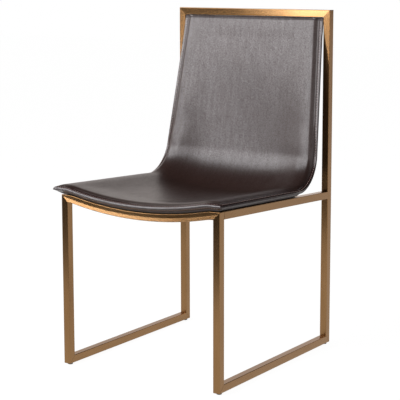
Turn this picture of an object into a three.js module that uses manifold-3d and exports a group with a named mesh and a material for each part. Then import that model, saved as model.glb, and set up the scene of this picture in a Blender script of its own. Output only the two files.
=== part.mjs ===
// Sled-base dining chair: a frame of square tube carries a sling of two sewn hides, which are
// stretched over a loop of hidden bars. Millimetres, +Z up, the sitter faces -Y, left is -X.
import * as THREE from "three";
import { mergeVertices } from "three/addons/utils/BufferGeometryUtils.js";
import Module from "manifold-3d";

const wasm = await Module();
wasm.setup();

// Frame sizes
const frameWidth = 463;
const frameDepth = 535;
const frameHeight = 875;
const frontSeatHeight = 432;
const rearSeatHeight = 408;
const frontRailSag = 22;
const railEndBlendRadius = 100;
const tubeSize = 19;
const tubeWall = 1.5;
const tubeCornerRadius = 1.2;
const touchGap = 0.3;

// Glide sizes
const glideDiameter = 13;
const glideHeight = 4;
const glideEdgeRadius = 0.8;
const glideEndDistance = 12;
const glideStemDiameter = 7;
const glideStemLength = 6;

// Sling sizes
const barDiameter = 18;
const barFit = 0.5;
const hideThickness = 2;
const hideGap = 0.3;
const flangeReach = 10;
const rollFade = 75;
const frontBarInset = 6.3;
const bendRadius = 100;
const bendNarrowing = 12.9;
const narrowingLead = 30;
const narrowingEndShare = 0.3;
const reclineAngle = 10.4 * Math.PI / 180;
const slingTopGap = 2;
const slingTopSetback = 3;
const slingTopSideGap = 3;

// Top strap sizes
const strapThickness = 3;
const strapWidth = 25;
const strapInset = 1;
const tabWidth = 20;
const tabSpacing = 200;

// Seat screw sizes
const screwDiameter = 5;
const screwHeadDiameter = 8;
const screwHeadHeight = 3;
const screwSocketDiameter = 4;
const screwSocketDepth = 1.8;
const screwGrip = 8;
const screwEndDistance = 60;
const accessClearance = 1;
const holeClearance = 0.3;
const cutOverrun = 1;

// Facet counts and the places of the sling's lines across its half width
const cornerFacets = 1;
const roundFacets = 16;
const barFacets = 12;
const railSteps = 40;
const seatSteps = 2;
const bendSteps = 8;
const backSteps = 4;
const halfAcrossShares = [0.25, 0.5, 0.72, 0.86, 0.93, 1];

// Places worked out from the sizes
const halfTube = tubeSize / 2;
const mitreGap = touchGap * Math.SQRT1_2;
const halfOpening = frameWidth / 2 - tubeSize;
const innerDepth = frameDepth - 2 * tubeSize;
const railCentreX = frameWidth / 2 - halfTube;
const floorRailTop = glideHeight + tubeSize;
const seatSlope = Math.atan2(frontSeatHeight - rearSeatHeight, innerDepth);
const barRadius = barDiameter / 2;
const rollSide = Math.PI / 4;
const hideInnerRadius = (barRadius + barFit) / Math.cos(rollSide / 2);
const rollRadius = hideInnerRadius + hideThickness;
const flangeHeight = hideGap / 2;
const rim = rollRadius + flangeReach;
const panelInset = rim + rollFade;

// The origin is under the middle of the whole chair, so the front overhang shifts the frame
const frontDrop = frontRailSag + flangeHeight + hideThickness;
const frontReach = rim * Math.cos(seatSlope) + frontDrop * Math.sin(seatSlope) - frontBarInset;
const frameFront = (frontReach - frameDepth) / 2;
const frameRear = frameFront + frameDepth;

const looks = {
  brass: { color: 0x9c7546, roughness: 0.38, metalness: 1 },
  outerHide: { color: 0x3b2a29, roughness: 0.5, metalness: 0 },
  underHide: { color: 0x35272a, roughness: 0.6, metalness: 0 },
  rod: { color: 0x8e8f92, roughness: 0.5, metalness: 1 },
  steel: { color: 0x4a4a4c, roughness: 0.55, metalness: 0.8 },
  screw: { color: 0x2b2b2d, roughness: 0.45, metalness: 0.9 },
  glide: { color: 0x17171a, roughness: 0.6, metalness: 0 },
};

const chair = new THREE.Group();

function addMesh(name, geometry, look) {
  const mesh = new THREE.Mesh(geometry, new THREE.MeshStandardMaterial(look));
  mesh.name = name;
  chair.add(mesh);
  return mesh;
}

const sides = [
  { side: -1, word: "left" },
  { side: 1, word: "right" },
];

// Shape tools

// Moves every point of a geometry to where the given function puts it
function reshape(geometry, move) {
  const place = geometry.attributes.position;
  for (let i = 0; i < place.count; i += 1) {
    const moved = move(place.getX(i), place.getY(i), place.getZ(i));
    place.setXYZ(i, moved.x, moved.y, moved.z);
  }
  geometry.computeVertexNormals();
  return geometry;
}

function toSolid(geometry) {
  const plain = geometry.clone();
  plain.deleteAttribute("normal");
  plain.deleteAttribute("uv");
  const merged = mergeVertices(plain);
  const vertProperties = new Float32Array(merged.attributes.position.array);
  const triVerts = new Uint32Array(merged.index.array);
  return new wasm.Manifold(new wasm.Mesh({ numProp: 3, vertProperties, triVerts }));
}

function drill(geometry, bits) {
  const solid = bits.reduce((rest, bit) => rest.subtract(toSolid(bit)), toSolid(geometry));
  const mesh = solid.getMesh();
  const drilled = new THREE.BufferGeometry();
  drilled.setAttribute("position", new THREE.BufferAttribute(mesh.vertProperties, 3));
  drilled.setIndex(new THREE.BufferAttribute(mesh.triVerts, 1));
  drilled.computeVertexNormals();
  return drilled;
}

function drillBit(diameter, from, to) {
  const axis = new THREE.Vector3().subVectors(to, from);
  const bit = new THREE.CylinderGeometry(diameter / 2, diameter / 2, axis.length(), roundFacets);
  const upright = new THREE.Vector3(0, 1, 0);
  const turn = new THREE.Quaternion().setFromUnitVectors(upright, axis.clone().normalize());
  const middle = new THREE.Vector3().addVectors(from, to).multiplyScalar(1 / 2);
  return bit.applyQuaternion(turn).translate(middle.x, middle.y, middle.z);
}

// A turned piece with its axis along Z, from a profile of radius and height
function turned(profile) {
  const points = profile.map(([radius, height]) => new THREE.Vector2(radius, height));
  return new THREE.LatheGeometry(points, roundFacets).rotateX(Math.PI / 2);
}

// Square tube

function tubeSection() {
  const centre = halfTube - tubeCornerRadius;
  const section = new THREE.Shape();
  section.absarc(centre, centre, tubeCornerRadius, 0, Math.PI / 2);
  section.absarc(-centre, centre, tubeCornerRadius, Math.PI / 2, Math.PI);
  section.absarc(-centre, -centre, tubeCornerRadius, Math.PI, 1.5 * Math.PI);
  section.absarc(centre, -centre, tubeCornerRadius, 1.5 * Math.PI, 2 * Math.PI);
  const bore = halfTube - tubeWall;
  const corners = [[bore, bore], [-bore, bore], [-bore, -bore], [bore, -bore]];
  section.holes.push(new THREE.Path(corners.map(([x, y]) => new THREE.Vector2(x, y))));
  return section;
}

// A tube along local Z. Its ends reach past the stated length by what the cut says at each
// point of the section, so a mitre adds nothing on its inner side and most on its outer side.
function straightTube(length, startCut, endCut) {
  const tube = new THREE.ExtrudeGeometry(tubeSection(), {
    depth: length,
    bevelEnabled: false,
    curveSegments: cornerFacets,
  });
  return reshape(tube, (x, y, z) => {
    const end = z > length / 2 ? length + endCut(x, y) : -startCut(x, y);
    return new THREE.Vector3(x, y, end);
  });
}

const mitreToX = (side) => (x) => halfTube + side * x - mitreGap;
const mitreToY = (side) => (x, y) => halfTube + side * y - mitreGap;
const verticalButt = (side) => (x, y) => side * y * Math.tan(seatSlope) - touchGap;

// Legs and posts: mitred to the floor rail below and to the cross rail above

function upright(name, side, outwardY, centreY, top) {
  const length = top - tubeSize - floorRailTop;
  const tube = straightTube(length, mitreToY(outwardY), mitreToX(side));
  addMesh(name, tube, looks.brass).position.set(side * railCentreX, centreY, floorRailTop);
}

for (const { side, word } of sides) {
  upright(`front_leg_${word}`, side, -1, frameFront + halfTube, frontSeatHeight);
  upright(`rear_post_${word}`, side, 1, frameRear - halfTube, frameHeight);
}

// Top rail

const topRail = straightTube(2 * halfOpening, mitreToX(-1), mitreToX(-1));
const topRailMesh = addMesh("top_rail", topRail, looks.brass);
topRailMesh.rotation.y = Math.PI / 2;
topRailMesh.position.set(-halfOpening, frameRear - halfTube, frameHeight - halfTube);

// Floor rails and their glides

const glidePlaces = [glideEndDistance, frameDepth - glideEndDistance];

function floorRail(side, word) {
  const bits = glidePlaces.map((place) => drillBit(
    glideStemDiameter + 2 * holeClearance,
    new THREE.Vector3(0, halfTube + cutOverrun, place - tubeSize),
    new THREE.Vector3(0, halfTube - tubeWall - cutOverrun, place - tubeSize),
  ));
  const tube = drill(straightTube(innerDepth, mitreToY(1), mitreToY(1)), bits);
  const mesh = addMesh(`floor_rail_${word}`, tube, looks.brass);
  mesh.rotation.x = -Math.PI / 2;
  mesh.position.set(side * railCentreX, frameFront + tubeSize, glideHeight + halfTube);
}

function glide() {
  const foot = glideDiameter / 2;
  const stem = glideStemDiameter / 2;
  const stemTop = glideHeight + glideStemLength;
  return turned([
    [0, 0],
    [foot - glideEdgeRadius, 0],
    [foot, glideEdgeRadius],
    [foot, glideHeight - touchGap],
    [stem, glideHeight - touchGap],
    [stem, stemTop - glideEdgeRadius],
    [stem - glideEdgeRadius, stemTop],
    [0, stemTop],
  ]);
}

for (const { side, word } of sides) {
  floorRail(side, word);
  glidePlaces.forEach((place, i) => {
    const name = `glide_${["front", "rear"][i]}_${word}`;
    addMesh(name, glide(), looks.glide).position.set(side * railCentreX, frameFront + place, 0);
  });
}

// Front rail: a hanging arc with a small reverse arc at each end, mitred to the legs

const arcRadius = (halfOpening ** 2 + frontRailSag ** 2) / (2 * frontRailSag) - railEndBlendRadius;
const blendStart = halfOpening * arcRadius / (arcRadius + railEndBlendRadius);

function railDrop(x) {
  const across = Math.min(Math.abs(x), halfOpening);
  if (across > blendStart) {
    const fromEnd = halfOpening - across;
    return railEndBlendRadius - Math.sqrt(railEndBlendRadius ** 2 - fromEnd ** 2);
  }
  return frontRailSag - arcRadius + Math.sqrt(arcRadius ** 2 - across ** 2);
}

class FrontRailPath extends THREE.Curve {
  getPoint(share) {
    const x = (2 * share - 1) * halfOpening;
    return new THREE.Vector3(x, frameFront + halfTube, frontSeatHeight - halfTube - railDrop(x));
  }
}

function frontRail() {
  const rail = new THREE.ExtrudeGeometry(tubeSection(), {
    steps: railSteps,
    curveSegments: cornerFacets,
    extrudePath: new FrontRailPath(),
  });
  const underside = frontSeatHeight - tubeSize;
  const beforeEnd = halfOpening * (1 - 1 / railSteps);
  return reshape(rail, (x, y, z) => {
    const reach = halfOpening + z - underside - mitreGap;
    return new THREE.Vector3(Math.abs(x) > beforeEnd ? Math.sign(x) * reach : x, y, z);
  });
}

addMesh("front_rail", frontRail(), looks.brass);

// Sling profile: the line of the hidden bars seen from the side, with y to the rear and z up.
// A place u on it is its distance from the front bar's centre, and the normal is towards the
// sitter. It runs straight over the seat rails, round the bend and straight up to the top edge.

const seatWay = new THREE.Vector2(Math.cos(seatSlope), -Math.sin(seatSlope));
const seatNormal = new THREE.Vector2(-seatWay.y, seatWay.x);
const backWay = new THREE.Vector2(Math.sin(reclineAngle), Math.cos(reclineAngle));
const barLift = rollRadius + touchGap;

// The sling touches the rear edge of the front rail, or its front edge if the seat falls forward
const railEdge = seatSlope >= 0 ? tubeSize : 0;
const frontBarRun = (frontBarInset - railEdge - barLift * seatNormal.x) / seatWay.x;
const frontBar = new THREE.Vector2(frameFront + railEdge, frontSeatHeight)
  .addScaledVector(seatWay, frontBarRun)
  .addScaledVector(seatNormal, barLift);
const slingTop = new THREE.Vector2(
  frameRear - tubeSize + slingTopSetback,
  frameHeight - tubeSize - slingTopGap,
);

const turnAngle = Math.PI / 2 - reclineAngle + seatSlope;
const toTop = slingTop.clone().sub(frontBar);
const seatToCorner = toTop.cross(backWay) / seatWay.cross(backWay);
const cornerToTop = seatWay.cross(toTop) / seatWay.cross(backWay);
const tangentLength = bendRadius * Math.tan(turnAngle / 2);
const bendStart = seatToCorner - tangentLength;
const bendLength = bendRadius * turnAngle;
const bendEnd = bendStart + bendLength;
const backLength = cornerToTop - tangentLength;
const slingEnd = bendEnd + backLength;
const bendCentre = frontBar
  .clone()
  .addScaledVector(seatWay, bendStart)
  .addScaledVector(seatNormal, bendRadius);

const clamp = THREE.MathUtils.clamp;

function profileAt(u) {
  const heading = clamp((u - bendStart) / bendRadius, 0, turnAngle) - seatSlope;
  const way = new THREE.Vector2(Math.cos(heading), Math.sin(heading));
  const normal = new THREE.Vector2(-way.y, way.x);
  const pastBend = u - clamp(u, bendStart, bendEnd);
  const onBend = bendCentre.clone().addScaledVector(normal, -bendRadius);
  return { point: onBend.addScaledVector(way, pastBend), normal };
}

// Half the distance between the side bars: they lie over the middle of the seat rails, curve
// inwards where the bend begins and then run straight to the top
const seatBarX = railCentreX;
const bendBarX = seatBarX - bendNarrowing;
const topBarX = halfOpening - slingTopSideGap - rim;
const backTaper = (topBarX - bendBarX) / backLength;
const narrowingStart = bendStart - narrowingLead;
const narrowingEnd = bendStart + narrowingEndShare * bendLength;

function barXAt(u) {
  if (u >= narrowingEnd) {
    return bendBarX + backTaper * (u - bendEnd);
  }
  const span = narrowingEnd - narrowingStart;
  const t = Math.max(u - narrowingStart, 0) / span;
  const narrowing = seatBarX - bendBarX - backTaper * (narrowingEnd - bendEnd);
  return seatBarX - narrowing * t ** 2 * (3 - 2 * t) + backTaper * span * t ** 2 * (t - 1);
}

// The middle hangs below the bars as the front rail does, and flattens towards the top strap
const pocketDepth = strapWidth + 2 * strapInset;
const pocketStart = slingEnd - pocketDepth;

function dishAt(u, x) {
  const upBack = clamp((u - bendEnd) / (pocketStart - bendEnd), 0, 1);
  const fade = (1 + Math.cos(Math.PI * upBack)) / 2;
  return fade * railDrop(x * seatBarX / barXAt(u));
}

// The place of a point of the sling from its distance along, across and towards the sitter
function slingPoint(u, x, height) {
  const { point, normal } = profileAt(u);
  point.addScaledVector(normal, height - dishAt(u, x));
  return new THREE.Vector3(x, point.x, point.y);
}

// Stations along the sling and lines across it

function evenSteps(from, to, count) {
  return Array.from({ length: count }, (_, i) => from + (to - from) * i / count);
}

const curvedStations = [
  narrowingStart,
  ...evenSteps(bendStart, bendEnd, bendSteps),
  ...evenSteps(bendEnd, pocketStart - pocketDepth, backSteps),
  pocketStart - pocketDepth,
  pocketStart,
];
const stations = [...evenSteps(rollFade, narrowingStart, seatSteps), ...curvedStations, slingEnd];
const lastStation = stations.length - 1;
const leftAcrossShares = halfAcrossShares.map((share) => -share).reverse();
const acrossShares = [...leftAcrossShares, 0, ...halfAcrossShares];
const lastAcross = acrossShares.length - 1;

// Hides

// Rings of a hide from its cut edge inwards, by distance in and height off the middle plane:
// the sewn flange, the roll over the bar and the stretch that sinks from it to the flat panel
const rollStep = Math.sin(rollSide);
const fadeShares = [1 / 3, 2 / 3, 1];

function hideRings(radius, plane) {
  const sinking = fadeShares.map((share) => {
    const left = (1 + Math.cos(Math.PI * share)) / 2;
    return [rim + share * rollFade, plane + left * (radius - plane)];
  });
  return [
    [0, plane],
    [rim - radius, plane],
    [rim - radius * rollStep, radius * rollStep],
    [rim, radius],
    ...sinking,
  ];
}

const outerRings = hideRings(rollRadius, flangeHeight + hideThickness);
const innerRings = hideRings(hideInnerRadius, flangeHeight);

// Half the gap between the hides, which widens to a pocket for the strap
function halfGapAt(u) {
  const intoPocket = clamp((u - pocketStart + pocketDepth) / pocketDepth, 0, 1);
  return flangeHeight + intoPocket * (strapThickness / 2 + touchGap - flangeHeight);
}

function hidePoint(i, share, [inset, ringHeight], face, skinHeight) {
  const u = i === 0 ? inset - rim : stations[i];
  const x = share * (barXAt(u) + rim - inset);
  const height = inset > rim ? Math.max(ringHeight, halfGapAt(u) + skinHeight) : ringHeight;
  return slingPoint(u, x, face * height);
}

// The border that the rings follow: down the left side, along the front and up the right
const border = [
  ...stations.map((_, i) => [lastStation - i, 0]),
  ...acrossShares.slice(1, -1).map((_, j) => [0, j + 1]),
  ...stations.map((_, i) => [i, lastAcross]),
];

function hide(face) {
  const points = [];
  const index = [];

  function strip(first, second, reversed) {
    for (let k = 0; k + 1 < first.length; k += 1) {
      const [a, b, c, d] = [first[k], first[k + 1], second[k + 1], second[k]];
      index.push(...(reversed ? [a, c, b, a, d, c] : [a, b, c, a, c, d]));
    }
  }

  function skin(rings, skinHeight, reversed) {
    function add(i, j, ring) {
      points.push(hidePoint(i, acrossShares[j], ring, face, skinHeight));
      return points.length - 1;
    }
    const chains = rings.slice(0, -1).map((ring) => border.map(([i, j]) => add(i, j, ring)));
    const rows = stations.map((_, i) => acrossShares.map((_, j) => add(i, j, rings.at(-1))));
    chains.push(border.map(([i, j]) => rows[i][j]));
    for (let r = 0; r + 1 < chains.length; r += 1) {
      strip(chains[r], chains[r + 1], reversed);
    }
    for (let i = 0; i < lastStation; i += 1) {
      strip(rows[i], rows[i + 1], reversed);
    }
    const sideChains = chains.slice(0, -1);
    const topEdge = [
      ...sideChains.map((chain) => chain[0]),
      ...rows[lastStation],
      ...sideChains.map((chain) => chain.at(-1)).reverse(),
    ];
    return { cutEdge: chains[0], topEdge };
  }

  const outer = skin(outerRings, hideThickness, face < 0);
  const inner = skin(innerRings, 0, face > 0);
  const [upper, lower] = face > 0 ? [outer, inner] : [inner, outer];
  strip(lower.cutEdge, upper.cutEdge, false);
  strip(upper.topEdge, lower.topEdge, false);

  const geometry = new THREE.BufferGeometry().setFromPoints(points);
  geometry.setIndex(index);
  geometry.computeVertexNormals();
  return geometry;
}

// Hidden bars, which take their stations from the hides so that both bend alike

function barAlongSteps(steps) {
  const section = new THREE.Shape().absarc(0, 0, barRadius, 0, 2 * Math.PI);
  return new THREE.ExtrudeGeometry(section, {
    depth: steps,
    steps,
    bevelEnabled: false,
    curveSegments: barFacets / 2,
  });
}

function sideBar(side) {
  const places = [0, ...curvedStations, slingEnd - strapInset];
  return reshape(barAlongSteps(places.length - 1), (x, y, z) => {
    const step = Math.round(z);
    const u = step === 0 ? mitreGap + side * x : places[step];
    return slingPoint(u, side * barXAt(u) - x, y);
  });
}

function frontBarSolid() {
  return reshape(barAlongSteps(lastAcross), (x, y, z) => {
    const share = acrossShares[Math.round(z)];
    const reach = Math.abs(share) === 1 ? -x - mitreGap : 0;
    return slingPoint(x, share * (seatBarX + reach), y);
  });
}

// Top strap: a flat bar between the hides, with two tabs up to the underside of the top rail

function topStrap() {
  const low = slingEnd - strapInset - strapWidth;
  const high = slingEnd - strapInset;
  const end = barXAt(high) - barRadius - touchGap;
  const tabTop = slingEnd + (slingTopGap - touchGap - strapThickness / 2 * backWay.x) / backWay.y;
  const inside = (tabSpacing - tabWidth) / 2;
  const outside = (tabSpacing + tabWidth) / 2;
  const tab = [[outside, high], [outside, tabTop], [inside, tabTop], [inside, high]];
  const half = [[end, low], [end, high], ...tab];
  const mirrored = half.map(([x, u]) => [-x, u]).reverse();
  const outline = new THREE.Shape([...half, ...mirrored].map(([x, u]) => new THREE.Vector2(x, u)));
  const plate = new THREE.ExtrudeGeometry(outline, { depth: strapThickness, bevelEnabled: false });
  return reshape(plate, (x, u, height) => slingPoint(u, x, height - strapThickness / 2));
}

addMesh("top_strap", topStrap(), looks.steel);

// Seat side rails. The seat screws run up from inside them into the side bars, and each is
// reached through a wider hole in the rail's underside.

const screwStations = [screwEndDistance, bendStart - screwEndDistance];
const screwHole = screwDiameter + 2 * holeClearance;
const accessHole = screwHeadDiameter + 2 * accessClearance;
const railStart = new THREE.Vector2(frameFront + tubeSize, frontSeatHeight - halfTube / seatWay.x);

// A point on the line of a seat screw, by its distance above the side bar's centre
function onScrewLine(side, u, height) {
  return slingPoint(u, side * seatBarX, height);
}

function seatSideRail(side, word) {
  const outside = halfTube + cutOverrun;
  const inside = halfTube - tubeWall - cutOverrun;
  const bits = screwStations.flatMap((u) => {
    const along = profileAt(u).point.sub(railStart).dot(seatWay);
    const at = (down) => new THREE.Vector3(0, down, along);
    return [
      drillBit(screwHole, at(-outside), at(-inside)),
      drillBit(accessHole, at(inside), at(outside)),
    ];
  });
  const length = innerDepth / seatWay.x;
  const tube = drill(straightTube(length, verticalButt(-1), verticalButt(1)), bits);
  const mesh = addMesh(`seat_side_rail_${word}`, tube, looks.brass);
  mesh.rotation.x = -Math.PI / 2 - seatSlope;
  mesh.position.set(side * railCentreX, railStart.x, railStart.y);
}

function seatScrew(shankLength) {
  const shank = screwDiameter / 2;
  const head = screwHeadDiameter / 2;
  const socket = screwSocketDiameter / 2;
  const chamfer = shank / 3;
  return turned([
    [0, screwSocketDepth - screwHeadHeight],
    [socket, screwSocketDepth - screwHeadHeight],
    [socket, -screwHeadHeight],
    [head - chamfer, -screwHeadHeight],
    [head, chamfer - screwHeadHeight],
    [head, 0],
    [shank, 0],
    [shank, shankLength - chamfer],
    [shank - chamfer, shankLength],
    [0, shankLength],
  ]);
}

const barAboveRail = frontBar.clone().sub(railStart).dot(seatNormal);
const screwSeat = -(barAboveRail - halfTube + tubeWall + touchGap);
const screwTip = screwGrip - barRadius;

for (const { side, word } of sides) {
  seatSideRail(side, word);
  const barBits = screwStations.map((u) => drillBit(
    screwHole,
    onScrewLine(side, u, -barRadius - cutOverrun),
    onScrewLine(side, u, screwTip + holeClearance),
  ));
  addMesh(`side_bar_${word}`, drill(sideBar(side), barBits), looks.rod);
  screwStations.forEach((u, i) => {
    const screw = seatScrew(screwTip - screwSeat);
    const mesh = addMesh(`seat_screw_${["front", "rear"][i]}_${word}`, screw, looks.screw);
    mesh.position.copy(onScrewLine(side, u, screwSeat));
    mesh.rotation.x = -seatSlope;
  });
}

// The sling on its bars

const hideBits = sides.flatMap(({ side }) => screwStations.map((u) => drillBit(
  screwHole,
  onScrewLine(side, u, -rollRadius - cutOverrun),
  onScrewLine(side, u, 0),
)));
addMesh("front_bar", frontBarSolid(), looks.rod);
addMesh("leather_front_panel", hide(1), looks.outerHide);
addMesh("leather_back_panel", drill(hide(-1), hideBits), looks.underHide);

export default chair;
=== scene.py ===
"""A dining chair of brushed square tube with a leather sling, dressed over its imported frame.

Metres, +Z up, the sitter faces -Y and left is -X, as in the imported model.
"""
import math

import bpy
import numpy as np
from mathutils import Matrix, Vector


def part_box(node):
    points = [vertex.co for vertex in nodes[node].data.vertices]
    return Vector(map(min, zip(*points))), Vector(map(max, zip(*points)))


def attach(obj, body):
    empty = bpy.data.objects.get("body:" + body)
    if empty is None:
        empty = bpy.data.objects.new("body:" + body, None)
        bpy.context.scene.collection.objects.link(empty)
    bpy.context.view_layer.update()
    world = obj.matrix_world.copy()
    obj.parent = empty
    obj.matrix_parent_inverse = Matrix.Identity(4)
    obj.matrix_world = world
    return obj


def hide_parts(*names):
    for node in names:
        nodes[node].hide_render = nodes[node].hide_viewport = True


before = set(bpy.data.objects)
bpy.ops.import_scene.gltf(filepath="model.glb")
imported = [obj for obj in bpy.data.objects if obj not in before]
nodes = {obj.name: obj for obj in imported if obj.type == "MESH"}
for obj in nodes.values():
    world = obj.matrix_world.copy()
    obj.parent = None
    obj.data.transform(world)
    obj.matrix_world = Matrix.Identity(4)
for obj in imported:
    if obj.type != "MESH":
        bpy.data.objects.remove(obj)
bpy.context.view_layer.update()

MM = 0.001

# Frame sizes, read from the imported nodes
leg_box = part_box("front_leg_right")
tube_size = leg_box[1].x - leg_box[0].x
half_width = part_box("floor_rail_right")[1].x
frame_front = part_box("front_leg_left")[0].y
frame_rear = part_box("rear_post_left")[1].y
frame_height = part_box("top_rail")[1].z
front_seat_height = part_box("front_rail")[1].z

# Sizes of the sling, as the chair's source has them
rear_seat_height = 408 * MM
front_rail_sag = 22 * MM
rail_end_blend_radius = 100 * MM
touch_gap = 0.3 * MM
bar_radius = 9 * MM
bar_fit = 0.5 * MM
hide_thickness = 2 * MM
hide_gap = 0.3 * MM
roll_side = math.pi / 4
flange_reach = 10 * MM
roll_fade = 105 * MM
front_bar_inset = 6.3 * MM
bend_radius = 100 * MM
bend_narrowing = 12.9 * MM
narrowing_lead = 30 * MM
narrowing_end_share = 0.3
recline_angle = math.radians(10.4)
sling_top_gap = 2 * MM
sling_top_setback = 3 * MM
sling_top_side_gap = 3 * MM
strap_thickness = 3 * MM
strap_width = 25 * MM
strap_inset = 1 * MM

# Sizes of the leather's finer shape
flange_fillet = 1.2 * MM
edge_round = 1.5 * MM
edge_drop = 1.3 * MM
lip_radius = 6.2 * MM
lip_start_angle = math.radians(89)
lip_end_angle = math.radians(21)
lip_edge_height = 0.5 * MM
ear_length = 20 * MM
panel_lift = 4.5 * MM
edge_bulge = 0.7 * MM
edge_overlap = 0.25 * MM
edge_least = 0.05
stitch_inset = 3.6 * MM
back_stitch_inset = 6.2 * MM
back_roll_offsets = np.array([0, 2, 4, 5, 6, 7, 8, 9]) * MM
back_roll_heights = np.array([9.8, 9.5, 8.8, 8.2, 7.5, 6.5, 5.2, 3.9]) * MM
back_roll_start = 80 * MM
back_least_leather = 0.4 * MM
top_spread = 2.3 * MM
top_spread_length = 50 * MM
stitch_pitch = 6.8 * MM
stitch_length = 3.6 * MM
stitch_radius = 0.85 * MM
stitch_groove = 0.5 * MM
stitch_groove_width = 1.1 * MM
top_fold_reach = 9.3 * MM
top_fold_start = 7.5 * MM
inner_fold_sharpness = 0.15
top_corner_radius = 4 * MM
corner_softness = 14 * MM
stitch_end_inset = 8 * MM
stitch_lifts = np.array([-0.35, 0.25, 0.42, 0.25, -0.35]) * MM
stitch_width_shares = np.array([0.7, 1.0, 1.0, 1.0, 0.7])

# The slight unevenness of stretched leather
swell_height = 0.12 * MM
swell_edge = 50 * MM
swell_across = 61
swell_along = 23
swell_drifts = (2.1, 1.3)
swell_drift_rates = (9, 17)
swell_drift_start = 0.6
pucker_height = 0.1 * MM
pucker_pitch = 17 * MM
pucker_share = 0.45
pucker_lean = 5
pucker_rise = 4

# How finely the sling is divided
lip_steps = 12
edge_steps = 6
corner_steps = 22
corner_crowding = 1.6
seat_steps = 46
bend_steps = 30
back_steps = 58
across_steps = 71
across_crowding = math.radians(76)
fold_angles = np.radians([10, 20, 30, 41, 52, 62, 72, 81, 90])
flange_insets = [
    *np.array([0.0, 0.1, 0.3, 0.6, 1.0, 1.5, 2.1, 2.8]) * MM,
    stitch_inset, 4.4 * MM, 5.6 * MM, 7.4 * MM,
]
bead_steps = 9
stitch_ring_steps = 6
side_line_steps = 400
front_line_steps = 200

# Places worked out from the sizes, as in the chair's source
half_opening = half_width - tube_size
inner_depth = frame_rear - frame_front - 2 * tube_size
seat_slope = math.atan2(front_seat_height - rear_seat_height, inner_depth)
hide_inner_radius = (bar_radius + bar_fit) / math.cos(roll_side / 2)
roll_radius = hide_inner_radius + hide_thickness
rim = roll_radius + flange_reach
flange_height = hide_gap / 2
arc_radius = (half_opening**2 + front_rail_sag**2) / (2 * front_rail_sag) - rail_end_blend_radius
blend_start = half_opening * arc_radius / (arc_radius + rail_end_blend_radius)

seat_way = np.array([math.cos(seat_slope), -math.sin(seat_slope)])
seat_normal = np.array([math.sin(seat_slope), math.cos(seat_slope)])
back_way = np.array([math.sin(recline_angle), math.cos(recline_angle)])
bar_lift = roll_radius + touch_gap
front_bar_run = (front_bar_inset - tube_size - bar_lift * seat_normal[0]) / seat_way[0]
front_bar = (
    np.array([frame_front + tube_size, front_seat_height])
    + seat_way * front_bar_run
    + seat_normal * bar_lift
)
sling_top = np.array([
    frame_rear - tube_size + sling_top_setback,
    frame_height - tube_size - sling_top_gap,
])


def cross_2d(a, b):
    """The cross product of two directions in a plane."""
    return a[0] * b[1] - a[1] * b[0]


turn_angle = math.pi / 2 - recline_angle + seat_slope
to_top = sling_top - front_bar
tangent_length = bend_radius * math.tan(turn_angle / 2)
bend_start = cross_2d(to_top, back_way) / cross_2d(seat_way, back_way) - tangent_length
bend_length = bend_radius * turn_angle
bend_end = bend_start + bend_length
back_length = cross_2d(seat_way, to_top) / cross_2d(seat_way, back_way) - tangent_length
sling_end = bend_end + back_length
bend_centre = front_bar + seat_way * bend_start + seat_normal * bend_radius

seat_bar_x = half_width - tube_size / 2
bend_bar_x = seat_bar_x - bend_narrowing
top_bar_x = half_opening - sling_top_side_gap - rim
back_taper = (top_bar_x - bend_bar_x) / back_length
narrowing_start = bend_start - narrowing_lead
narrowing_end = bend_start + narrowing_end_share * bend_length
narrowing = seat_bar_x - bend_bar_x - back_taper * (narrowing_end - bend_end)
pocket_depth = strap_width + 2 * strap_inset
pocket_start = sling_end - pocket_depth
fold_start = sling_end - top_fold_start


def rail_drop(x):
    """How far the front rail hangs below its ends, across the chair."""
    across = np.minimum(np.abs(x), half_opening)
    hanging = front_rail_sag - arc_radius + np.sqrt(arc_radius**2 - across**2)
    in_blend = across > blend_start
    from_end = (half_opening - across) * in_blend
    turned = rail_end_blend_radius - np.sqrt(rail_end_blend_radius**2 - from_end**2)
    return np.where(in_blend, turned, hanging)


def profile_at(u):
    """The sling's side profile at a distance u from the front bar: point and normal in Y and Z."""
    heading = np.clip((u - bend_start) / bend_radius, 0, turn_angle) - seat_slope
    way = np.stack([np.cos(heading), np.sin(heading)], -1)
    normal = np.stack([-way[..., 1], way[..., 0]], -1)
    past = (u - np.clip(u, bend_start, bend_end))[..., None]
    return bend_centre - bend_radius * normal + way * past, normal


def bar_x_at(u):
    """Half the distance between the side bars."""
    span = narrowing_end - narrowing_start
    t = np.maximum(u - narrowing_start, 0) / span
    before = seat_bar_x - narrowing * t**2 * (3 - 2 * t) + back_taper * span * t**2 * (t - 1)
    return np.where(u >= narrowing_end, bend_bar_x + back_taper * (u - bend_end), before)


def half_wave(t):
    """From 1 at t = 0 to 0 at t = 1, level at both ends."""
    return (1 + np.cos(np.pi * np.clip(t, 0, 1))) / 2


def flattening_at(u):
    """The share that the sling keeps of its dish and of the lift between its hides, up the back."""
    return half_wave((u - bend_end) / (pocket_start - bend_end))


def dish_at(u, x):
    """How far the sling sags between its side bars."""
    return flattening_at(u) * rail_drop(x * seat_bar_x / bar_x_at(u))


def sling_point(u, x, height):
    """Points of the sling from the distance along, across and towards the sitter."""
    point, normal = profile_at(u)
    place = point + normal * (height - dish_at(u, x))[..., None]
    return np.stack([x + 0 * u, place[..., 0], place[..., 1]], -1)


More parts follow.
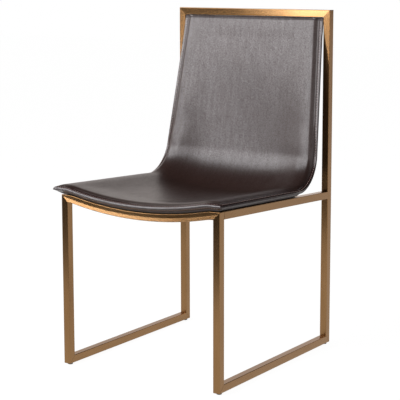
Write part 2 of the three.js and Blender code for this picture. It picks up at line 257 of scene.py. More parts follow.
def lip_profile(face):
    """The seat's edge from its cut to the roll's crest: a rounded lip above, a slope below."""
    if face > 0:
        angles = np.linspace(lip_start_angle, lip_end_angle, lip_steps)
        insets = lip_radius * (math.sin(lip_start_angle) - np.sin(angles))
        heights = lip_edge_height + lip_radius * (np.cos(angles) - math.cos(lip_start_angle))
    else:
        insets = edge_round * np.linspace(0, 1, edge_steps)
        heights = flange_height + hide_thickness - edge_drop_at(insets)
    start, height = insets[-1], heights[-1]
    span = rim - start
    slope = math.tan(lip_end_angle)
    t = np.linspace(0, 1, lip_steps)[1:]
    rise = roll_radius - height
    climb = height + rise * t**2 * (3 - 2 * t) + slope * span * t * (1 - t) ** 2
    return np.append(insets, start + span * t), np.append(heights, climb)


def edge_drop_at(inset):
    """How far the outer face falls towards the cut edge."""
    return edge_drop * (1 - np.sqrt(1 - np.clip(1 - inset / edge_round, 0, 1) ** 2))


lips = {face: lip_profile(face) for face in (1, -1)}


def up_the_back(u):
    """From 0 at the end of the bend to 1 where the back's own edge has its full form."""
    t = np.clip((u - bend_end) / back_roll_start, 0, 1)
    return t**2 * (3 - 2 * t)


def stitch_inset_at(u):
    """How far the stitches lie in from the cut edge, which is more on the back than on the seat."""
    return stitch_inset + up_the_back(u) * (back_stitch_inset - stitch_inset)


def groove_at(u, inset):
    """How deep the stitches draw the leather in."""
    return stitch_groove * np.exp(-(((inset - stitch_inset_at(u)) / stitch_groove_width) ** 2))


def back_edge(u, inset):
    """Height of the upper hide's outer face on the back: a wide forward flange and a low roll."""
    rounded = edge_round * np.linspace(0, 1, edge_steps)
    insets = [*rounded, *(rim - back_roll_offsets[::-1])]
    heights = [*(flange_height + hide_thickness - edge_drop_at(rounded)), *back_roll_heights[::-1]]
    return np.interp(inset, insets, heights) - groove_at(u, inset)


def edge_spread(u, inset):
    """How far the flange reaches out towards the post near the top."""
    near_top = np.clip((u - sling_end) / top_spread_length + 1, 0, 1)
    return top_spread * near_top * np.clip(1 - inset / (rim - back_roll_offsets[-1]), 0, 1)


def flange_blend(u, x, inset, height, face, depth):
    """Height of the edge: a lip round the seat, and on the back the upper hide's forward flange."""
    from_front = u + rim
    from_side = bar_x_at(u) + rim - np.abs(x)
    share = np.exp(-((np.maximum(from_front - from_side, 0) / ear_length) ** 2))
    share = np.maximum(share, (face > 0) * np.clip((bend_end - u) / bend_length, 0, 1))
    lip = np.maximum(np.interp(inset, *lips[face]) - depth, flange_height)
    height = height + share * (lip - height)
    if face < 0:
        return height
    target = back_edge(u, inset)
    if depth > 0:
        target = np.minimum(height, np.maximum(target - back_least_leather, flange_height))
    return height + up_the_back(u) * (target - height)


def corner_cut(u):
    """How far the sling's outline draws in at its rounded top corners."""
    top = sling_end + top_fold_reach - top_fold_start
    rise = np.clip(u - top + top_corner_radius, 0, top_corner_radius)
    return top_corner_radius - np.sqrt(top_corner_radius**2 - rise**2)


def half_gap_at(u):
    """Half the gap between the hides, which opens for the strap in the top pocket."""
    into_pocket = np.clip((u - pocket_start + pocket_depth) / pocket_depth, 0, 1)
    return flange_height + into_pocket * (strap_thickness / 2 + touch_gap - flange_height)


def lift_at(u, face):
    """How far the taut upper hide stays above the lower one, which lessens up the back."""
    return panel_lift * (face > 0) * flattening_at(u)


def panel_height_at(u, face, depth):
    """Height of a skin's flat middle part."""
    return half_gap_at(u) + lift_at(u, face) + hide_thickness - depth


def fade_at(distance):
    """The share of the roll's height that is left at a distance in from its crest."""
    return half_wave(distance / roll_fade)


def softened_corner(u, x):
    """What rounds the valley where the side's fade meets the front's, as a share of the roll."""
    to_side = bar_x_at(u) - np.abs(x)
    nearer = np.minimum(to_side, u)
    soft = nearer - corner_softness * np.log1p(np.exp(-np.abs(to_side - u) / corner_softness))
    return fade_at(soft) - fade_at(nearer)


# Mesh tools


def placed(name, data):
    """A new object with this data, linked to the scene."""
    made = bpy.data.objects.new(name, data)
    bpy.context.scene.collection.objects.link(made)
    return made


def new_mesh(name, points, faces, material, uvs=None):
    """A piece of the chair from points and faces, shaded smooth, with UVs in metres if given."""
    mesh = bpy.data.meshes.new(name)
    mesh.from_pydata(np.asarray(points).tolist(), [], [list(map(int, f)) for f in faces])
    mesh.validate()
    if uvs is not None:
        layer = mesh.uv_layers.new(name="leather")
        corner_points = np.zeros(len(mesh.loops), np.int32)
        mesh.loops.foreach_get("vertex_index", corner_points)
        layer.data.foreach_set("uv", np.asarray(uvs)[corner_points].astype(np.float32).ravel())
    mesh.polygons.foreach_set("use_smooth", [True] * len(mesh.polygons))
    mesh.update()
    piece = placed(name, mesh)
    piece.data.materials.append(material)
    return piece


def flat_mesh(name, corners):
    """A mesh of one flat face."""
    mesh = bpy.data.meshes.new(name)
    mesh.from_pydata(corners, [], [tuple(range(len(corners)))])
    return mesh


def grid_faces(first, second, flip):
    """Quads between two rows of point numbers."""
    a, b, c, d = first[:-1], first[1:], second[1:], second[:-1]
    return np.stack([a, d, c, b] if flip else [a, b, c, d], -1)


def joined(points, uvs, faces):
    """Points that fall on each other made one, and the faces that keep three corners or more."""
    _, first, number = np.unique(np.round(points, 7), axis=0, return_index=True, return_inverse=True)
    number = number.ravel()
    kept, left = [], []
    for k, corners in enumerate(number[faces]):
        ring = [int(c) for c, before in zip(corners, np.roll(corners, 1)) if c != before]
        if len(set(ring)) >= 3:
            kept.append(k)
            left.append(ring)
    return points[first], uvs[first], left, kept


# Node tools


class Nodes:
    """Short ways to add and link the nodes of one tree."""

    def __init__(self, tree):
        self.tree = tree

    def link(self, out, socket):
        self.tree.links.new(out, socket)

    def feed(self, socket, value):
        """Links a socket to an output, or gives it a constant."""
        if isinstance(value, bpy.types.NodeSocket):
            self.link(value, socket)
        else:
            socket.default_value = value

    def add(self, kind, settings=None, **inputs):
        node = self.tree.nodes.new(kind)
        for key, value in (settings or {}).items():
            setattr(node, key, value)
        for key, value in inputs.items():
            self.feed(node.inputs[key.replace("_", " ")], value)
        return node

    def math(self, operation, *values):
        node = self.add("ShaderNodeMath", {"operation": operation})
        for socket, value in zip(node.inputs, values):
            self.feed(socket, value)
        return node.outputs[0]

    def weighed(self, a, share, b):
        """A sum in which a has a share and b the rest."""
        return self.math("ADD", self.math("MULTIPLY", a, share), self.math("MULTIPLY", b, 1 - share))

    def noise(self, place, scale, detail, roughness=0.5):
        """Noise with one scale, or with one for each axis."""
        if not isinstance(scale, float):
            place = self.add("ShaderNodeMapping", Vector=place, Scale=scale).outputs[0]
            scale = 1.0
        return self.add("ShaderNodeTexNoise", Vector=place, Scale=scale, Detail=detail, Roughness=roughness)

    def ramp(self, value, low, high):
        """Moves the range low to high to 0 to 1."""
        return self.add("ShaderNodeMapRange", Value=value, From_Min=low, From_Max=high).outputs[0]

    def spread(self, value, low, high):
        """Moves a 0 to 1 value to the range low to high."""
        return self.add("ShaderNodeMapRange", Value=value, To_Min=low, To_Max=high).outputs[0]

    def mix_colour(self, share, a, b):
        node = self.add("ShaderNodeMix", {"data_type": "RGBA"})
        for i, value in ((0, share), (6, a), (7, b)):
            self.feed(node.inputs[i], value)
        return node.outputs[2]

    def show(self, shader, kind="ShaderNodeOutputMaterial"):
        """Makes a shader the tree's output."""
        self.link(shader.outputs[0], self.add(kind).inputs["Surface"])


def emptied_nodes(owner):
    """The node tree of a material or a world, emptied."""
    owner.use_nodes = True
    owner.node_tree.nodes.clear()
    return Nodes(owner.node_tree)


def linear(red, green, blue):
    """An sRGB colour of 0 to 255 as a linear one."""
    def channel(value):
        value /= 255
        return value / 12.92 if value <= 0.04045 else ((value + 0.055) / 1.055) ** 2.4
    return (channel(red), channel(green), channel(blue), 1.0)


def new_material(name):
    """A material, its nodes and its surface shader."""
    material = bpy.data.materials.new(name)
    n = emptied_nodes(material)
    surface = n.add("ShaderNodeBsdfPrincipled")
    n.show(surface)
    return material, n, surface


# Brushed brass, with its grooves along one axis of the chair

brass_colour = (149, 115, 79)
brass_dark = (127, 94, 60)
brass_tones = (0.3, 0.7)
brass_roughness = 0.26
brass_anisotropy = 0.6
brass_unevenness = 0.05
groove_pitch = 0.35 * MM
groove_length = 60 * MM
groove_height = 0.012 * MM
groove_strength = 0.5
groove_share = 0.45
cloud_scale = 24.0
cloud_scale_along = 5.0
tube_round = 0.9 * MM
quarter_turn = 0.25
bent_face_slope = 0.185
bent_face_start = 9 * MM
bent_face_blend = 2 * MM


def bent_face(n, place):
    """Height of the front rail's front face, which leans forward below its middle."""
    parts = n.add("ShaderNodeSeparateXYZ", Vector=place)
    across = n.math("MULTIPLY", parts.outputs["X"], parts.outputs["X"])
    drop = n.math("SUBTRACT", front_rail_sag, n.math("MULTIPLY", across, 0.5 / arc_radius))
    top = n.math("SUBTRACT", front_seat_height, drop)
    below = n.math("SUBTRACT", n.math("SUBTRACT", top, bent_face_start), parts.outputs["Z"])
    return n.math("MULTIPLY", n.math("SMOOTH_MAX", below, 0.0, bent_face_blend), bent_face_slope)


def per_axis(axis, along, across):
    """One value along an axis and another along the other two."""
    return [along if k == axis else across for k in range(3)]


def brushed_brass(name, axis, roughness=brass_roughness, anisotropy=brass_anisotropy, bent=False):
    """Brass with fine grooves along one axis and rounded corners, and bent for the front rail."""
    material, n, surface = new_material(name)
    place = n.add("ShaderNodeTexCoord").outputs["Object"]
    groove_scale = per_axis(axis, 1 / groove_length, 1 / groove_pitch)
    streaks = n.noise(place, groove_scale, detail=3.0, roughness=0.6).outputs[0]
    clouds_scale = per_axis(axis, cloud_scale_along, cloud_scale)
    clouds = n.noise(place, clouds_scale, detail=4.0, roughness=0.55).outputs[0]
    tone = n.ramp(n.weighed(streaks, groove_share, clouds), *brass_tones)
    n.link(n.mix_colour(tone, linear(*brass_dark), linear(*brass_colour)), surface.inputs["Base Color"])
    uneven = n.spread(clouds, roughness - brass_unevenness, roughness + brass_unevenness)
    n.link(uneven, surface.inputs["Roughness"])
    surface.inputs["Metallic"].default_value = 1.0
    surface.inputs["Anisotropic"].default_value = anisotropy
    surface.inputs["Anisotropic Rotation"].default_value = quarter_turn
    x, y, z = per_axis(axis, 1.0, 0.0)
    n.link(n.add("ShaderNodeCombineXYZ", X=x, Y=y, Z=z).outputs[0], surface.inputs["Tangent"])
    rounded = n.add("ShaderNodeBevel", {"samples": 4}, Radius=tube_round).outputs[0]
    if bent:
        lean = bent_face(n, place)
        leant = n.add("ShaderNodeBump", Strength=1.0, Distance=1.0, Height=lean, Normal=rounded)
        rounded = leant.outputs[0]
    bump = n.add(
        "ShaderNodeBump", Strength=groove_strength, Distance=groove_height, Height=streaks, Normal=rounded,
    )
    n.link(bump.outputs[0], surface.inputs["Normal"])
    return material


# Leather

grain_pitch = 1.3 * MM
grain_height = 0.07 * MM
grain_strength = 0.55
grain_valley = 0.22
grain_wander = 0.8 * MM
wander_scale = 260.0
fine_scale = 2400.0
fine_share = 0.35
drawn_scales = (110.0, 16.0, 1.0)
patch_scale = 11.0
patch_share = 0.6
mottle_scale = 420.0
mottle_share = 0.8
gloss_tones = (0.36, 0.64)
leather_unevenness = 0.05
seat_dulling = 0.03
specular_tint = (0.98, 0.97, 1.0, 1.0)
specular_levels = (0.8, 0.32)
leather_ior = 1.6


def pebbled_grain(n, place):
    """Pebbles with valleys between them, as heights of 0 to 1."""
    shifted = n.add("ShaderNodeVectorMath", {"operation": "MULTIPLY_ADD"})
    wander = n.noise(place, wander_scale, detail=2.0).outputs["Color"]
    for socket, value in zip(shifted.inputs, (wander, [grain_wander] * 3, place)):
        n.feed(socket, value)
    cells = n.add(
        "ShaderNodeTexVoronoi", {"feature": "DISTANCE_TO_EDGE"},
        Vector=shifted.outputs[0], Scale=1 / grain_pitch,
    )
    return n.ramp(cells.outputs["Distance"], 0.0, grain_valley)


def leather(name, colour, dark, roughness, grain=1.0):
    """Leather that is duller on the seat than on the back, with drawn streaks along its length."""
    material, n, surface = new_material(name)
    place = n.add("ShaderNodeTexCoord").outputs["Object"]
    pebbles = pebbled_grain(n, place)
    patches = n.noise(place, patch_scale, detail=5.0, roughness=0.6).outputs[0]
    tone = n.weighed(patches, patch_share, pebbles)
    n.link(n.mix_colour(tone, linear(*dark), linear(*colour)), surface.inputs["Base Color"])

    along = n.add("ShaderNodeUVMap", {"uv_map": "leather"}).outputs[0]
    streaks = n.noise(along, drawn_scales, detail=3.0, roughness=0.6).outputs[0]
    mottle = n.noise(place, mottle_scale, detail=3.0, roughness=0.7).outputs[0]
    gloss = n.ramp(n.weighed(mottle, mottle_share, streaks), *gloss_tones)
    from_front = n.add("ShaderNodeSeparateXYZ", Vector=along).outputs["Y"]
    duller = n.spread(n.ramp(from_front, bend_start, bend_end), seat_dulling, 0.0)
    uneven = n.spread(gloss, roughness - leather_unevenness, roughness + leather_unevenness)
    n.link(n.math("ADD", uneven, duller), surface.inputs["Roughness"])
    surface.inputs["Specular Tint"].default_value = specular_tint
    surface.inputs["IOR"].default_value = leather_ior
    n.link(n.spread(gloss, *specular_levels), surface.inputs["Specular IOR Level"])

    fine = n.noise(place, fine_scale, detail=2.0).outputs[0]
    height = n.math("ADD", pebbles, n.math("MULTIPLY", fine, fine_share))
    bump = n.add("ShaderNodeBump", Strength=grain_strength * grain, Distance=grain_height, Height=height)
    n.link(bump.outputs[0], surface.inputs["Normal"])
    return material


# Plain finishes

mottle_height = 0.02 * MM
mottle_strength = 0.3
smoother = 0.06
rougher = 0.08


def plain_finish(name, colour, worn, roughness, metallic, scale):
    """A finish with a fine mottle in its colour, roughness and surface."""
    material, n, surface = new_material(name)
    place = n.add("ShaderNodeTexCoord").outputs["Object"]
    mottle = n.noise(place, scale, detail=4.0, roughness=0.6).outputs[0]
    n.link(n.mix_colour(mottle, linear(*colour), linear(*worn)), surface.inputs["Base Color"])
    n.link(n.spread(mottle, roughness - smoother, roughness + rougher), surface.inputs["Roughness"])
    surface.inputs["Metallic"].default_value = metallic
    bump = n.add("ShaderNodeBump", Strength=mottle_strength, Distance=mottle_height, Height=mottle)
    n.link(bump.outputs[0], surface.inputs["Normal"])
    return material


bent_brass = brushed_brass("brushed_brass_bent", 0, roughness=0.24, bent=True)
top_brass = brushed_brass("brushed_brass_top", 0, roughness=0.13, anisotropy=0.0)
rail_brass = brushed_brass("brushed_brass_y", 1)
post_brass = brushed_brass("brushed_brass_z", 2)
front_leather = leather("front_leather", (54, 34, 29), (39, 25, 22), roughness=0.34, grain=0.3)
back_leather = leather("back_leather", (46, 32, 28), (34, 24, 21), roughness=0.55)
flange_leather = leather("flange_leather", (56, 34, 33), (40, 26, 26), roughness=0.2, grain=0.12)
# The hem is a real fold; its darker colour is painted shade for the dark band under the top rail.
hem_leather_painted_shade = leather("hem_leather_painted_shade", (48, 30, 31), (36, 23, 24), roughness=0.6, grain=0.3)

# Each plain finish's colour, worn colour, roughness, share of metal and scale of its mottle
edge_paint = plain_finish("edge_paint", (30, 20, 21), (40, 28, 29), 0.5, 0.0, 900.0)
# The thread's pale colour is partly its own and partly a painted highlight for glints on the stitch bumps.
thread = plain_finish("thread", (172, 150, 142), (136, 114, 108), 0.5, 0.0, 3000.0)
bar_aluminium = plain_finish("bar_aluminium", (142, 143, 146), (160, 160, 163), 0.45, 1.0, 300.0)
strap_steel = plain_finish("strap_steel", (62, 62, 65), (78, 78, 80), 0.5, 0.9, 300.0)
screw_steel = plain_finish("screw_steel", (60, 60, 62), (82, 82, 84), 0.35, 1.0, 500.0)
glide_plastic = plain_finish("glide_plastic", (22, 22, 24), (32, 32, 34), 0.55, 0.0, 1500.0)

# Finish of the CAD nodes

sides = ("left", "right")
ends = ("front", "rear")
finishes = {
    bent_brass: ["front_rail"],
    top_brass: ["top_rail"],
    rail_brass: [f"{part}_{side}" for part in ("floor_rail", "seat_side_rail") for side in sides],
    post_brass: [f"{part}_{side}" for part in ("front_leg", "rear_post") for side in sides],
    bar_aluminium: ["side_bar_left", "side_bar_right", "front_bar"],
    strap_steel: ["top_strap"],
    screw_steel: [f"seat_screw_{end}_{side}" for end in ends for side in sides],
    glide_plastic: [f"glide_{end}_{side}" for end in ends for side in sides],
}
for material, names in finishes.items():
    for name in names:
        slots = nodes[name].material_slots
        slots[0].link = "OBJECT"
        slots[0].material = material

# Sling


def roll_profile(panel_height, radius, fillet, arc_steps=12, fillet_steps=5, fade_steps=14):
    """Insets and heights of one skin from the flange, up the roll and slowly down to the panel."""
    flange = flange_height + radius - hide_inner_radius
    out_angle = math.asin((flange + fillet) / (radius + fillet))
    foot = rim - (radius + fillet) * math.cos(out_angle)
    points = []
    for angle in np.linspace(math.pi / 2, out_angle, fillet_steps):
        points.append((foot - fillet * math.cos(angle), flange + fillet * (1 - math.sin(angle))))
    for angle in np.linspace(out_angle, math.pi / 2, arc_steps)[1:]:
        points.append((rim - radius * math.cos(angle), radius * math.sin(angle)))
    for reach in np.linspace(0, roll_fade, fade_steps)[1:]:
        points.append((rim + reach, panel_height + fade_at(reach) * (radius - panel_height)))
    return points


# Stations along the sling, closer together at the front edge, with one for each turn of the top fold
corner_shares = np.linspace(1, 0, corner_steps, endpoint=False)[1:] ** corner_crowding
corner_stations = roll_fade - (roll_fade + rim) * corner_shares
stations = np.concatenate([
    [-rim],
    corner_stations,
    np.linspace(roll_fade, bend_start, seat_steps, endpoint=False),
    np.linspace(bend_start, bend_end, bend_steps, endpoint=False),
    np.linspace(bend_end, fold_start, back_steps),
    np.full(len(fold_angles), fold_start),
])
fold_turn = np.concatenate([np.zeros(len(stations) - len(fold_angles)), fold_angles])
across_shares = np.sin(np.linspace(-1, 1, across_steps) * across_crowding) / math.sin(across_crowding)
last = len(stations) - 1
panel_rows = [0, *range(len(corner_stations) + 2, last + 1)]

# The border that the rings follow: down the left side, along the front and up the right
border_rows = np.concatenate([
    np.arange(last, -1, -1), np.zeros(len(across_shares) - 2, int), np.arange(0, last + 1),
])
border_shares = np.concatenate([
    -np.ones(last + 1), across_shares[1:-1], np.ones(last + 1),
])


def leather_swell(u, x):
    """Soft waves all over, and puckers in the bend's corners."""
    drift_across = swell_drifts[0] * np.sin(swell_drift_rates[0] * u)
    drift_along = swell_drifts[1] * np.sin(swell_drift_rates[1] * x + swell_drift_start)
    waves_across = np.sin(swell_across * x + drift_across)
    waves_along = np.sin(swell_along * u + drift_along)
    to_side = np.clip((bar_x_at(u) - np.abs(x)) / swell_edge, 0, 1)
    pucker_reach = pucker_share * bend_length
    in_bend = np.exp(-(((u - bend_start - pucker_reach) / pucker_reach) ** 2))
    puckers = np.sin(2 * math.pi * u / pucker_pitch + pucker_lean * x) * in_bend
    puckers = puckers * (1 - to_side) ** 2 * np.minimum(pucker_rise * to_side, 1)
    return swell_height * waves_across * waves_along * to_side + pucker_height * puckers


def skin_points(inset, height, rows, shares, face, depth):
    """Points of a skin, depth being how deep it lies under the hide's outer face.

    Stations beside the front roll meet the front's rings on the corner's diagonal.
    """
    u = np.maximum(stations[rows], inset - rim)
    reach = (top_fold_reach - depth) * np.sin(fold_turn[rows])
    x = shares * (bar_x_at(u) + rim - inset + edge_spread(u, inset) - corner_cut(u + reach))
    panel = panel_height_at(u, face, depth)
    softer = height + (roll_radius - depth - panel) * softened_corner(u, x)
    if face > 0:
        crest = back_roll_heights[0] - (back_least_leather if depth > 0 else 0)
        softer = softer + up_the_back(u) * fade_at(inset - rim) * (crest - roll_radius + depth)
    height = np.where(inset < rim, flange_blend(u, x, inset, height, face, depth), softer)
    closing = np.clip(np.cos(fold_turn[rows]), 0, 1) ** (inner_fold_sharpness if depth > 0 else 1)
    height = np.maximum(height * closing, flange_height)
    height = height + leather_swell(u, x) * closing * np.clip((inset - rim) / roll_fade, 0, 1)
    return sling_point(u + reach, x, face * height), np.stack([x, u + reach], -1)


def hide(name, face, material):
    """One hide with both its skins, closed at the cut edge and along the top.

    Its finishes are 0 for the panel, 1 for the flange and 2 for the hem, whose darker leather is painted
    shade along the top edge.
    """
    points, uvs, faces, finish_of = [], [], [], []
    first_fold = last - len(fold_angles)

    def add(found):
        start = sum(len(p) for p in points)
        points.append(found[0])
        uvs.append(found[1])
        return np.arange(start, start + len(found[0]))

    def skin(depth, flip):
        radius = roll_radius - depth
        plane = flange_height + hide_thickness - depth
        panels = [panel_height_at(u, face, depth) for u in stations]
        per_row = [roll_profile(panel, radius, flange_fillet + depth) for panel in panels]
        chains = []
        for inset in flange_insets:
            drop = groove_at(stations[border_rows], inset) + edge_drop_at(inset)
            heights = plane - drop * (depth == 0)
            insets = np.full(len(border_rows), inset)
            chains.append(add(skin_points(insets, heights, border_rows, border_shares, face, depth)))
        for k in range(len(per_row[0])):
            inset = np.array([per_row[i][k][0] for i in border_rows])
            heights = np.array([per_row[i][k][1] for i in border_rows])
            chains.append(add(skin_points(inset, heights, border_rows, border_shares, face, depth)))
        count = len(across_shares)
        rows = [
            add(skin_points(
                np.full(count, rim + roll_fade), np.full(count, per_row[i][-1][1]),
                np.full(count, i), across_shares, face, depth,
            ))
            for i in panel_rows
        ]
        chains.pop()
        beside = np.zeros(len(corner_stations) + 1, int)
        row_of = np.concatenate([[0], beside, np.arange(1, len(panel_rows))])
        rows = np.array(rows)
        left, right = rows[row_of, 0], rows[row_of, -1]
        chains.append(np.concatenate([left[::-1], rows[0, 1:-1], right]))
        for k, (first, second) in enumerate(zip(chains, chains[1:])):
            faces.append(grid_faces(first, second, flip))
            folded = np.minimum(border_rows[1:], border_rows[:-1]) >= first_fold
            finish_of.append(np.where(folded, 2, int(k < len(flange_insets))))
        for row, first, second in zip(panel_rows, rows, rows[1:]):
            faces.append(grid_faces(first, second, flip))
            finish_of.append(np.full(len(faces[-1]), 2 if row >= first_fold else 0))
        rings = chains[:-1]
        top = np.concatenate([[c[0] for c in rings], rows[-1], [c[-1] for c in rings[::-1]]])
        return chains[0], top

    outer_cut, outer_top = skin(0, face < 0)
    inner_cut, inner_top = skin(hide_thickness, face > 0)
    faces.append(grid_faces(inner_cut, outer_cut, face < 0))
    finish_of.append(np.ones(len(faces[-1]), int))
    faces.append(grid_faces(outer_top, inner_top, face < 0))
    finish_of.append(np.full(len(faces[-1]), 2))
    points, uvs, faces = (np.concatenate(parts) for parts in (points, uvs, faces))
    points, uvs, faces, kept = joined(points, uvs, faces)
    piece = new_mesh(name, points, faces, material, uvs)
    piece.data.materials.append(flange_leather)
    piece.data.materials.append(hem_leather_painted_shade)
    piece.data.polygons.foreach_set("material_index", np.concatenate(finish_of)[kept].astype(np.int32))
    return piece


def cut_edge(name, material):
    """The painted bead over the cut edges of both hides."""
    half = flange_height + hide_thickness - edge_drop
    turns = np.linspace(-math.pi / 2, math.pi / 2, bead_steps)
    section = [(-edge_bulge * math.cos(a), half * math.sin(a)) for a in turns]
    section = [(edge_overlap, -half), *section, (edge_overlap, half)]
    chains = []
    points, uvs = [], []
    for k, (inset, height) in enumerate(section):
        closing = np.cos(fold_turn[border_rows])
        u = np.where(border_rows == 0, inset - rim, stations[border_rows])
        reach = top_fold_reach * np.sin(fold_turn[border_rows])
        x = border_shares * (bar_x_at(u) + rim - inset + edge_spread(u, inset) - corner_cut(u + reach))
        points.append(sling_point(u + reach, x, height * np.maximum(closing, edge_least)))
        uvs.append(np.stack([x, u + reach + height], -1))
        chains.append(np.arange(len(x)) + k * len(x))
    faces = [grid_faces(a, b, False) for a, b in zip(chains, chains[1:] + chains[:1])]
    caps = [[c[0] for c in chains][::-1], [c[-1] for c in chains]]
    faces = [list(f) for part in faces for f in part] + caps
    return new_mesh(name, np.concatenate(points), faces, material, np.concatenate(uvs))


def stitch_line():
    """Each stitch round the border, as a run of places along and across the sling."""
    side_u = np.linspace(stitch_inset - rim, sling_end - stitch_end_inset, side_line_steps)
    inset = stitch_inset_at(side_u)
    side_x = bar_x_at(side_u) + rim - inset + edge_spread(side_u, inset)
    left = np.stack([side_u, -side_x], -1)[::-1]
    front_x = np.linspace(-side_x[0], side_x[0], front_line_steps)
    front = np.stack([np.full(front_line_steps, stitch_inset - rim), front_x], -1)
    right = left[::-1] * [1, -1]
    runs = []
    for run in (left, front, right):
        steps = np.concatenate([[0], np.cumsum(np.linalg.norm(np.diff(run, axis=0), axis=1))])
        count = int((steps[-1] - stitch_pitch) / stitch_pitch)
        spare = (steps[-1] - count * stitch_pitch) / 2
        starts = spare + stitch_pitch * (np.arange(count) + 0.5) - stitch_length / 2
        for s in starts:
            stops = np.linspace(0, 1, len(stitch_lifts)) * stitch_length + s
            runs.append(np.stack([np.interp(stops, steps, run[:, k]) for k in (0, 1)], -1))
    return runs


def stitches(name, face, material):
    """The thread that shows on one side of the flange: short stitches that dive into the leather."""
    lift = stitch_lifts - stitch_groove
    widths = stitch_width_shares * stitch_radius
    angles = np.arange(stitch_ring_steps) * 2 * math.pi / stitch_ring_steps
    points, faces = [], []
    base = flange_height + hide_thickness
    for run in stitch_line():
        along = run[-1] - run[0]
        aside = np.array([-along[1], along[0]]) / np.linalg.norm(along)
        rings = []
        for (u, x), up, width in zip(run, lift, widths):
            ring_u = u + width * np.cos(angles) * aside[0]
            ring_x = x + width * np.cos(angles) * aside[1]
            level = flange_blend(u, x, stitch_inset_at(u), base, face, 0.0)
            heights = face * (level + up + width * np.sin(angles))
            found = sling_point(ring_u, ring_x, heights)
            rings.append(np.arange(len(points), len(points) + stitch_ring_steps))
            points.extend(found.tolist())
        for a, b in zip(rings, rings[1:]):
            for k in range(stitch_ring_steps):
                after = (k + 1) % stitch_ring_steps
                quad = [a[k], a[after], b[after], b[k]]
                faces.append(quad[::-1] if face > 0 else quad)
        faces.append(list(rings[0][::-1]) if face < 0 else list(rings[0]))
        faces.append(list(rings[-1]) if face < 0 else list(rings[-1][::-1]))
    return new_mesh(name, np.array(points), faces, material)


front_hide = hide("sling_front_hide", 1, front_leather)
back_hide = hide("sling_back_hide", -1, back_leather)
edge = cut_edge("sling_cut_edge", edge_paint)
upper_stitches = stitches("sling_stitches_upper", 1, thread)
lower_stitches = stitches("sling_stitches_lower", -1, thread)

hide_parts("leather_front_panel")
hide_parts("leather_back_panel")
for piece in (front_hide, back_hide, edge, upper_stitches, lower_stitches):
    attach(piece, "root")


def edge_length(u, face):
    """Length of leather from the cut edge over the roll to the flat middle part."""
    panel = panel_height_at(u, face, 0)
    profile = [(0.0, flange_height + hide_thickness), *roll_profile(panel, roll_radius, flange_fillet)]
    return sum(math.dist(a, b) for a, b in zip(profile, profile[1:]))


# Flat sizes, measured along the leather from cut edge to cut edge
for piece, face in ((front_hide, 1), (back_hide, -1)):
    edges = np.array([edge_length(u, face) for u in stations])
    widths = 2 * (edges + bar_x_at(stations) - roll_fade)
    front_turn = edges[0] - rim - roll_fade
    top_turn = top_fold_reach - top_fold_start
    area = np.sum((widths[1:] + widths[:-1]) / 2 * np.diff(stations))
    area += widths[0] * front_turn + widths[-1] * top_turn

# Studio: a pale floor, a softbox at the front left, and cards that only reflections see

floor_half = 12.0
floor_paper = 0.8
floor_faint = 0.12
floor_glow = 0.96
ceiling_start = 0.35
ceiling_end = 0.65
ceiling_level = 0.05
room_level = 0.3
warm_white = (1.0, 0.93, 0.89, 1.0)
front_card_y = -1.3
back_card_y = 1.6
floor_card_z = 2 * MM

# Each card's reach across, its reach in height or in depth, and its level
front_cards = {
    "dark_screen_foot": ((-2.2, 0.1), (0.0, 0.15), 0.15),
    "dark_screen": ((-2.2, 0.1), (0.15, 0.55), 0.02),
    "dark_screen_middle": ((-2.2, -1.1), (0.55, 0.62), 0.6),
    "dark_screen_right": ((-0.68, 0.1), (0.55, 0.77), 0.02),
    "dark_screen_left": ((-2.2, -0.99), (0.62, 0.95), 0.4),
    "glow_screen": ((-0.785, -0.54), (0.77, 0.95), 8.5),
    "glow_screen_edge": ((-0.82, -0.785), (0.77, 0.95), 3.0),
    "glow_screen_faint": ((-0.9, -0.82), (0.7, 0.95), 1.3),
    "glow_screen_low": ((-1.15, -0.72), (0.55, 0.7), 11.0),
}
back_cards = {
    "dark_screen_back": ((-0.1, 0.6), (0.85, 2.2), 0.03),
    "dark_screen_side": ((1.2, 2.6), (0.3, 0.85), 0.02),
    "dark_screen_side_high": ((0.6, 2.6), (0.85, 2.2), 0.03),
}
floor_cards = {
    "dark_floor": ((-1.6, 0.0), (-1.3, -1.0), 0.6),
}


def floor_material():
    """White paper to diffuse light, which the camera and reflections see lifted to full white."""
    material = bpy.data.materials.new("floor")
    n = emptied_nodes(material)
    paper = n.add("ShaderNodeBsdfDiffuse", Color=(floor_paper, floor_paper, floor_paper, 1.0))
    faint = n.add("ShaderNodeBsdfDiffuse", Color=(floor_faint, floor_faint, floor_faint, 1.0))
    glow = n.add("ShaderNodeEmission", Color=(1, 1, 1, 1), Strength=floor_glow)
    lifted = n.add("ShaderNodeAddShader")
    n.link(faint.outputs[0], lifted.inputs[0])
    n.link(glow.outputs[0], lifted.inputs[1])
    path = n.add("ShaderNodeLightPath")
    seen = n.math("MAXIMUM", path.outputs["Is Camera Ray"], path.outputs["Is Glossy Ray"])
    seen = n.math("MAXIMUM", seen, path.outputs["Is Transmission Ray"])
    choice = n.add("ShaderNodeMixShader")
    for socket, value in zip(choice.inputs, (seen, paper.outputs[0], lifted.outputs[0])):
        n.feed(socket, value)
    n.show(choice)
    return material


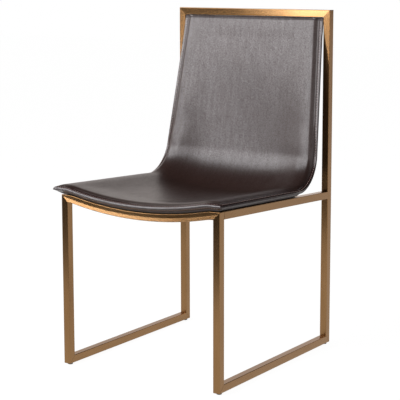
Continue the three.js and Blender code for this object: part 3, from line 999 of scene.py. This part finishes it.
def studio_world():
    """White to the camera and dim to diffuse light; reflections see warm white under a dark ceiling."""
    world = bpy.data.worlds.new("studio")
    bpy.context.scene.world = world
    n = emptied_nodes(world)
    direction = n.add("ShaderNodeTexCoord").outputs["Generated"]
    height = n.add("ShaderNodeSeparateXYZ", Vector=direction).outputs["Z"]
    ceiling = n.add(
        "ShaderNodeMapRange", {"interpolation_type": "SMOOTHSTEP"}, Value=height,
        From_Min=ceiling_start, From_Max=ceiling_end, To_Min=1.0, To_Max=ceiling_level,
    ).outputs[0]
    path = n.add("ShaderNodeLightPath")
    direct = n.math("MAXIMUM", path.outputs["Is Camera Ray"], path.outputs["Is Transmission Ray"])
    glossy = path.outputs["Is Glossy Ray"]
    in_gloss = n.math("MULTIPLY", glossy, ceiling)
    others = n.math("SUBTRACT", 1.0, n.math("MAXIMUM", direct, glossy))
    indirect = n.math("ADD", in_gloss, n.math("MULTIPLY", others, room_level))
    strength = n.math("ADD", direct, indirect)
    tint = n.mix_colour(glossy, (1.0, 1.0, 1.0, 1.0), warm_white)
    back = n.add("ShaderNodeBackground", Color=tint, Strength=strength)
    n.show(back, "ShaderNodeOutputWorld")


def softbox(name, centre, look_at, width, height, radiance):
    """A rectangular area light whose face has the given radiance."""
    lamp = bpy.data.lights.new(name, "AREA")
    lamp.shape = "RECTANGLE"
    lamp.size = width
    lamp.size_y = height
    lamp.energy = radiance * width * height * math.pi
    box = placed(name, lamp)
    box.location = centre
    aim = Vector(look_at) - Vector(centre)
    box.rotation_euler = aim.to_track_quat("-Z", "Y").to_euler()
    box.visible_camera = False


def card(name, corners, level):
    """A studio card that only reflections see."""
    mesh = flat_mesh(name, corners)
    material = bpy.data.materials.new(name)
    n = emptied_nodes(material)
    n.show(n.add("ShaderNodeEmission", Color=(level, level, level, 1), Strength=1.0))
    mesh.materials.append(material)
    made = placed(name, mesh)
    made.visible_camera = False
    made.visible_diffuse = False
    made.visible_shadow = False
    made.visible_transmission = False


def upright_cards(cards, y):
    """Cards that stand upright at one depth."""
    for name, ((left, right), (low, high), level) in cards.items():
        card(name, [(left, y, low), (right, y, low), (right, y, high), (left, y, high)], level)


def lying_cards(cards, z):
    """Cards that lie flat at one height."""
    for name, ((left, right), (near, far), level) in cards.items():
        card(name, [(left, near, z), (right, near, z), (right, far, z), (left, far, z)], level)


floor = placed("floor", flat_mesh("floor", [
    (-floor_half, -floor_half, 0), (floor_half, -floor_half, 0),
    (floor_half, floor_half, 0), (-floor_half, floor_half, 0),
]))
floor.data.materials.append(floor_material())
studio_world()
softbox(
    "key", centre=(-1.05, -1.24, 1.55), look_at=(0.0, 0.2, 0.75),
    width=2.2, height=1.25, radiance=4.5,
)
upright_cards(front_cards, front_card_y)
upright_cards(back_cards, back_card_y)
lying_cards(floor_cards, floor_card_z)

# Camera, at the photograph's place

camera_place = (1.8709, -2.8056, 0.9886)
azimuth = math.radians(33.623)
elevation = math.radians(8.603)
roll = math.radians(-0.095)
focal_px = 1355.153
image_px = 400
axis_px = 170
sensor_width = 36

camera_data = bpy.data.cameras.new("camera")
camera = placed("camera", camera_data)
away = Vector((
    math.sin(azimuth) * math.cos(elevation),
    -math.cos(azimuth) * math.cos(elevation),
    math.sin(elevation),
))
right = Vector((math.cos(azimuth), math.sin(azimuth), 0))
upward = away.cross(right)
turn = Matrix((right, upward, away)).transposed() @ Matrix.Rotation(roll, 3, "Z")
camera.matrix_world = Matrix.Translation(camera_place) @ turn.to_4x4()
camera_data.sensor_width = sensor_width
camera_data.lens = focal_px / image_px * sensor_width
camera_data.shift_y = (axis_px - image_px / 2) / image_px
bpy.context.scene.camera = camera
bpy.context.scene.view_settings.view_transform = "Standard"
